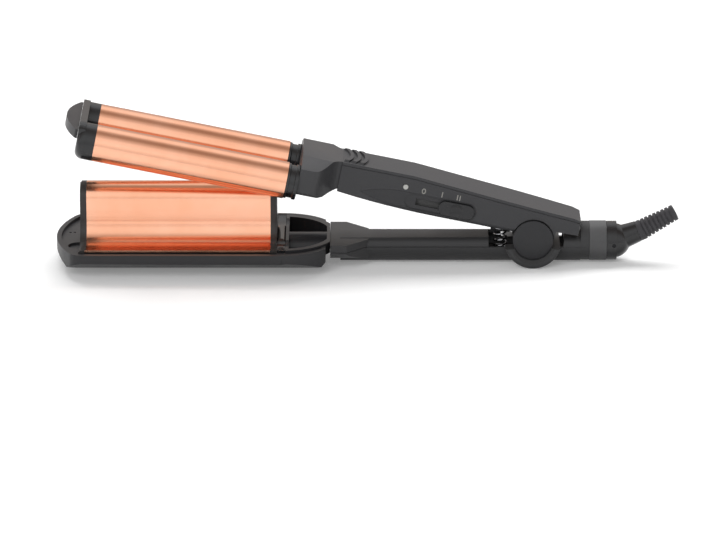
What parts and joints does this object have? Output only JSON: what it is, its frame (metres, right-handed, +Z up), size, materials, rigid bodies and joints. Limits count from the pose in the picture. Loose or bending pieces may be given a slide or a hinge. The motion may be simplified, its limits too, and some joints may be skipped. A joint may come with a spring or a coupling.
{
  "type": "hair waver",
  "caption": "Two-armed electric hair waver: a lower arm with a ridged hot plate, a sprung upper arm with hot tubes that close over the ridge, and a swivelling cord exit.",
  "frame": {"origin": "bottom centre of the bounding box, on the table the lower arm rests on", "axes": "+X along the tool towards the cord exit, +Y across it away from the slide switch, +Z up; arms open at rest"},
  "size_m": [0.3724, 0.0852, 0.0937],
  "materials": {
    "plate_coating": "satin copper-coloured coating",
    "tube_coating": "satin copper-coloured coating",
    "cover_plastic": "fine grained",
    "wall_plastic": "semi-matte",
    "neck_plastic": "semi-matte",
    "bar_plastic": "polished",
    "lower_shell_plastic": "fine grained",
    "cap_plastic": "fine grained",
    "ring_plastic": "fine grained",
    "exit_plastic": "polished",
    "sleeve_rubber": "ribbed, matte",
    "tube_end_plastic": "polished",
    "tip_plastic": "semi-matte",
    "head_plastic": "semi-matte",
    "upper_shell_plastic": "fine grained",
    "panel_plastic": "smooth",
    "knob_plastic": "smooth",
    "lens_plastic": "translucent white",
    "fastener_steel": "zinc plated",
    "spring_steel": "bright drawn wire",
    "bush_bronze": "machined",
    "heater_metal": "pressed",
    "sensor_metal": "plain",
    "wire_rubber": "silicone insulation",
    "board_laminate": "solder mask",
    "switch_plastic": "moulded"
  },
  "bodies": {
    "lower_arm": {"base_cover": "cover_plastic", "lower_plate": "plate_coating", "front_end_wall": "wall_plastic", "rear_end_wall": "wall_plastic", "ridge_heater": "heater_metal", "thermal_fuse": "sensor_metal", "neck_bar": "bar_plastic", "neck_fork": "neck_plastic", "cover_screws": "fastener_steel", "lower_wiring": "wire_rubber", "lower_handle_bottom": "lower_shell_plastic", "lower_handle_top": "lower_shell_plastic", "rear_top_shell": "lower_shell_plastic", "handle_screws": "fastener_steel", "return_spring": "spring_steel", "hinge_pin": "fastener_steel", "hinge_cover_near": "cap_plastic", "hinge_cover_far": "cap_plastic", "rear_band": "ring_plastic"},
    "swivel": {"swivel_collar": "exit_plastic", "tilt_pins": "fastener_steel"},
    "cord_guard": {"cord_ball": "exit_plastic", "strain_relief": "sleeve_rubber"},
    "upper_arm": {"tube_near": "tube_coating", "tube_far": "tube_coating", "tube_caps": "tube_end_plastic", "tube_collars": "tube_end_plastic", "tube_heaters": "heater_metal", "temperature_sensor": "sensor_metal", "cool_tip": "tip_plastic", "bridge_bar": "tube_end_plastic", "upper_head": "head_plastic", "upper_handle_bottom": "upper_shell_plastic", "upper_handle_top": "upper_shell_plastic", "hinge_bush": "bush_bronze", "control_panel": "panel_plastic", "indicator_lens": "lens_plastic", "circuit_board": "board_laminate", "slide_switch": "switch_plastic", "lid_screws": "fastener_steel"},
    "switch_knob": {"slide_knob": "knob_plastic"}
  },
  "joints": [
    {"name": "arm_hinge", "type": "hinge", "parent": "lower_arm", "child": "upper_arm", "pos_m": [0.0987, 0, 0.0171], "axis": [0, -1, 0], "range_deg": [0, 11.5], "stiffness_Nm_per_rad": 1.2, "springref_deg": -34.38, "deforming": ["return_spring"]},
    {"name": "switch_slide", "type": "slide", "parent": "upper_arm", "child": "switch_knob", "axis": [0.9796, 0, -0.2011], "range_m": [-0.02, 0]},
    {"name": "swivel_turn", "type": "hinge", "parent": "lower_arm", "child": "swivel", "pos_m": [0.1474, 0, 0.0126], "axis": [1, 0, 0], "continuous": true},
    {"name": "cord_tilt", "type": "hinge", "parent": "swivel", "child": "cord_guard", "pos_m": [0.1474, 0, 0.0126], "axis": [0, 1, 0], "range_deg": [-2, 50]}
  ]
}
